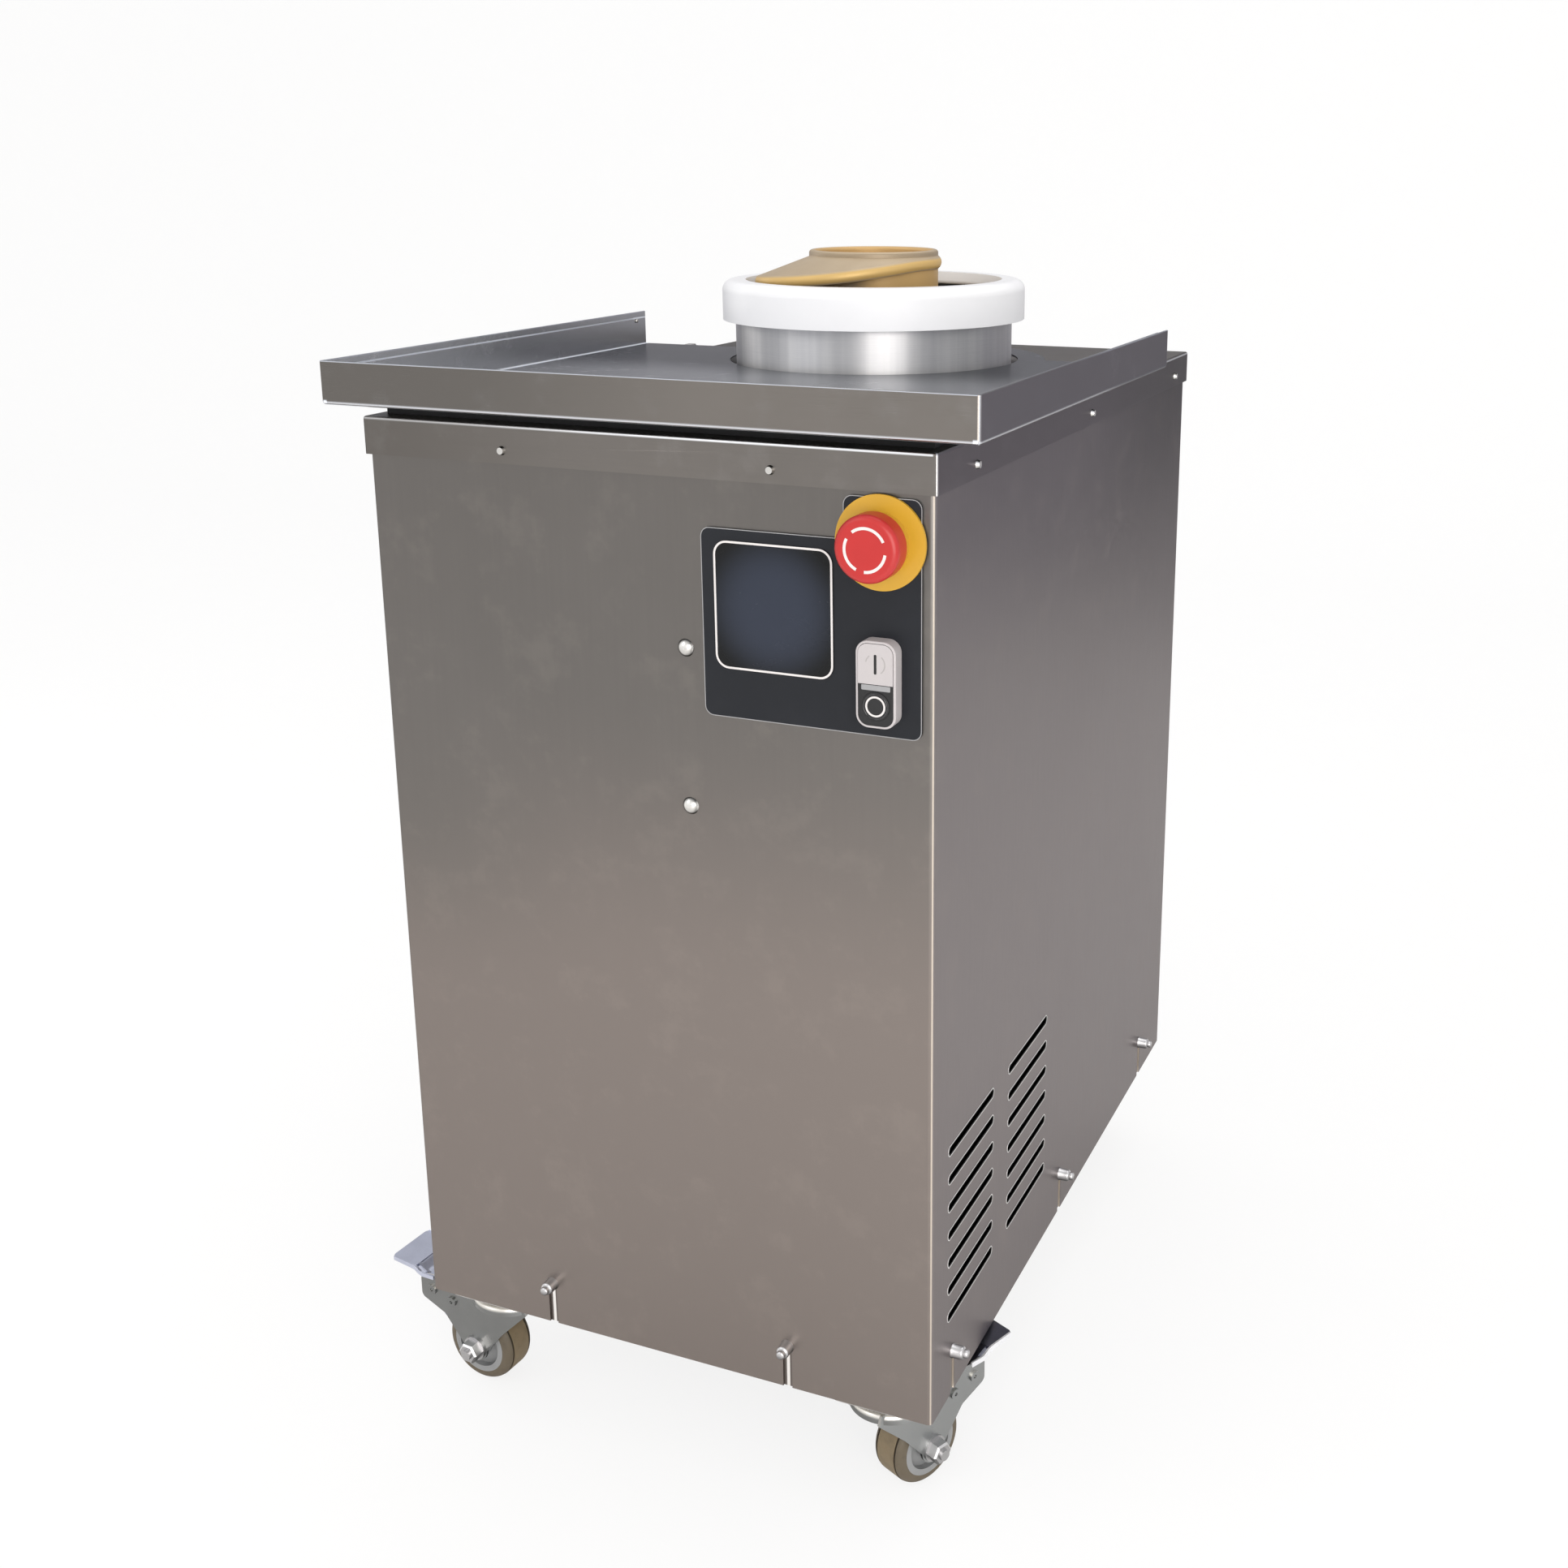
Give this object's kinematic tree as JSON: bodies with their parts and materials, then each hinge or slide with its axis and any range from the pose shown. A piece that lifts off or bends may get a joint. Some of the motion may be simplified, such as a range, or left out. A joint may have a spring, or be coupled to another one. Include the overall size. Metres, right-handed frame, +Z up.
{
  "type": "dough rounder",
  "caption": "Floor-standing dough rounder: steel cabinet on casters with a front tray, a spinning drum round a hollow helical auger, and a control panel on the front.",
  "frame": {"origin": "on the floor, under the middle of the cabinet's footprint", "axes": "+Z up; -Y is the front with the control panel; +X is the right-hand side seen from the front"},
  "size_m": [0.4875, 0.6558, 0.837],
  "materials": {
    "panel_steel": "brushed stainless sheet",
    "cap_steel": "brushed stainless sheet",
    "tray_steel": "polished stainless sheet",
    "frame_steel": "dark painted steel",
    "zinc": "bright zinc",
    "bright_steel": "ground steel",
    "drum_steel": "machined steel",
    "ring_white": "white food-grade plastic",
    "pulley_alloy": "machined alloy",
    "belt_rubber": "flat rubber belt",
    "motor_grey": "cast alloy, grey",
    "cowl_grey": "moulded, dark grey",
    "auger_coat": "bronze-coloured coating on alloy",
    "plate_black": "satin black",
    "screen_glass": "dark touch glass",
    "estop_yellow": "yellow plastic",
    "estop_red": "red plastic",
    "switch_black": "black plastic",
    "button_white": "pale plastic",
    "caster_zinc": "zinc-plated pressed steel",
    "caster_tyre": "brown-grey polyurethane",
    "caster_hub": "grey moulded hub"
  },
  "bodies": {
    "cabinet": {"base_pan": "frame_steel", "frame_posts": "frame_steel", "deck_rails": "frame_steel", "drive_deck": "frame_steel", "body_wrap": "panel_steel", "rear_panel": "panel_steel", "top_cap": "cap_steel", "cap_screws": "zinc", "base_studs": "zinc", "front_screws": "zinc", "tray_spacers": "frame_steel", "cap_pads": "cap_steel", "tray": "tray_steel", "caster_plates": "zinc", "bearing_housing": "frame_steel", "drum_bearings": "bright_steel", "auger_post": "bright_steel", "post_carrier": "frame_steel", "motor_housing": "motor_grey", "fan_cowl": "cowl_grey", "drive_belt": "belt_rubber", "deck_bolts": "zinc", "control_plate": "plate_black", "display": "screen_glass", "estop_collar": "estop_yellow", "estop_contacts": "switch_black", "dual_button_bezel": "button_white", "dual_button_body": "switch_black", "drive_controller": "cowl_grey", "cable_gland": "switch_black"},
    "drum": {"drum": "drum_steel", "drum_ring": "ring_white", "drum_shaft": "bright_steel", "drum_pulley": "pulley_alloy", "shaft_nut": "bright_steel"},
    "motor_rotor": {"motor_shaft": "bright_steel", "motor_pulley": "pulley_alloy"},
    "auger": {"auger": "auger_coat"},
    "estop_stem": {"estop_stem": "switch_black"},
    "estop_cap": {"estop_cap": "estop_red"},
    "start_button": {"start_button": "button_white"},
    "stop_button": {"stop_button": "switch_black"},
    "front_left_fork": {"front_left_fork": "caster_zinc", "front_left_axle": "caster_zinc"},
    "front_left_wheel": {"front_left_tyre": "caster_tyre", "front_left_hub": "caster_hub"},
    "front_left_pedal": {"front_left_pedal": "caster_zinc"},
    "front_right_fork": {"front_right_fork": "caster_zinc", "front_right_axle": "caster_zinc"},
    "front_right_wheel": {"front_right_tyre": "caster_tyre", "front_right_hub": "caster_hub"},
    "front_right_pedal": {"front_right_pedal": "caster_zinc"},
    "rear_left_fork": {"rear_left_fork": "caster_zinc", "rear_left_axle": "caster_zinc"},
    "rear_left_wheel": {"rear_left_tyre": "caster_tyre", "rear_left_hub": "caster_hub"},
    "rear_right_fork": {"rear_right_fork": "caster_zinc", "rear_right_axle": "caster_zinc"},
    "rear_right_wheel": {"rear_right_tyre": "caster_tyre", "rear_right_hub": "caster_hub"}
  },
  "joints": [
    {"name": "drum_spin", "type": "hinge", "parent": "cabinet", "child": "drum", "pos_m": [0, 0.0803, 0.55], "axis": [0, 0, 1], "continuous": true},
    {"name": "motor_spin", "type": "hinge", "parent": "cabinet", "child": "motor_rotor", "pos_m": [0, -0.1447, 0.55], "axis": [0, 0, 1], "continuous": true},
    {"name": "auger_lift", "type": "slide", "parent": "cabinet", "child": "auger", "axis": [0, 0, 1], "range_m": [0, 0.22]},
    {"name": "estop_press", "type": "slide", "parent": "cabinet", "child": "estop_stem", "axis": [0, 1, 0], "range_m": [0, 0.005]},
    {"name": "estop_twist", "type": "hinge", "parent": "estop_stem", "child": "estop_cap", "pos_m": [0.1665, -0.31, 0.689], "axis": [0, -1, 0], "range_deg": [0, 45], "stiffness_Nm_per_rad": 0.05},
    {"name": "start_press", "type": "slide", "parent": "cabinet", "child": "start_button", "axis": [0, 1, 0], "range_m": [0, 0.003], "stiffness_N_per_m": 1200},
    {"name": "stop_press", "type": "slide", "parent": "cabinet", "child": "stop_button", "axis": [0, 1, 0], "range_m": [0, 0.003], "stiffness_N_per_m": 1200},
    {"name": "front_left_swivel", "type": "hinge", "parent": "cabinet", "child": "front_left_fork", "pos_m": [-0.1555, -0.2587, 0.08], "axis": [0, 0, 1], "continuous": true},
    {"name": "front_left_roll", "type": "hinge", "parent": "front_left_fork", "child": "front_left_wheel", "pos_m": [-0.17979, -0.2564, 0.03], "axis": [-0.0941, -0.9956, 0], "continuous": true},
    {"name": "front_left_brake", "type": "hinge", "parent": "front_left_fork", "child": "front_left_pedal", "pos_m": [-0.21862, -0.25273, 0.0684], "axis": [-0.0941, -0.9956, 0], "range_deg": [0, 15]},
    {"name": "front_right_swivel", "type": "hinge", "parent": "cabinet", "child": "front_right_fork", "pos_m": [0.1555, -0.2587, 0.08], "axis": [0, 0, 1], "continuous": true},
    {"name": "front_right_roll", "type": "hinge", "parent": "front_right_fork", "child": "front_right_wheel", "pos_m": [0.1657, -0.23653, 0.03], "axis": [-0.9085, 0.4179, 0], "continuous": true},
    {"name": "front_right_brake", "type": "hinge", "parent": "front_right_fork", "child": "front_right_pedal", "pos_m": [0.18199, -0.2011, 0.0684], "axis": [-0.9085, 0.4179, 0], "range_deg": [0, 15]},
    {"name": "rear_left_swivel", "type": "hinge", "parent": "cabinet", "child": "rear_left_fork", "pos_m": [-0.1555, 0.2587, 0.08], "axis": [0, 0, 1], "continuous": true},
    {"name": "rear_left_roll", "type": "hinge", "parent": "rear_left_fork", "child": "rear_left_wheel", "pos_m": [-0.15847, 0.28292, 0.03], "axis": [-0.9925, -0.1219, 0], "continuous": true},
    {"name": "rear_right_swivel", "type": "hinge", "parent": "cabinet", "child": "rear_right_fork", "pos_m": [0.1555, 0.2587, 0.08], "axis": [0, 0, 1], "continuous": true},
    {"name": "rear_right_roll", "type": "hinge", "parent": "rear_right_fork", "child": "rear_right_wheel", "pos_m": [0.13134, 0.2621, 0.03], "axis": [-0.1392, -0.9903, 0], "continuous": true}
  ],
  "couplings": [
    {"joint": "motor_spin", "follows": "drum_spin", "ratio": 3.5185}
  ]
}
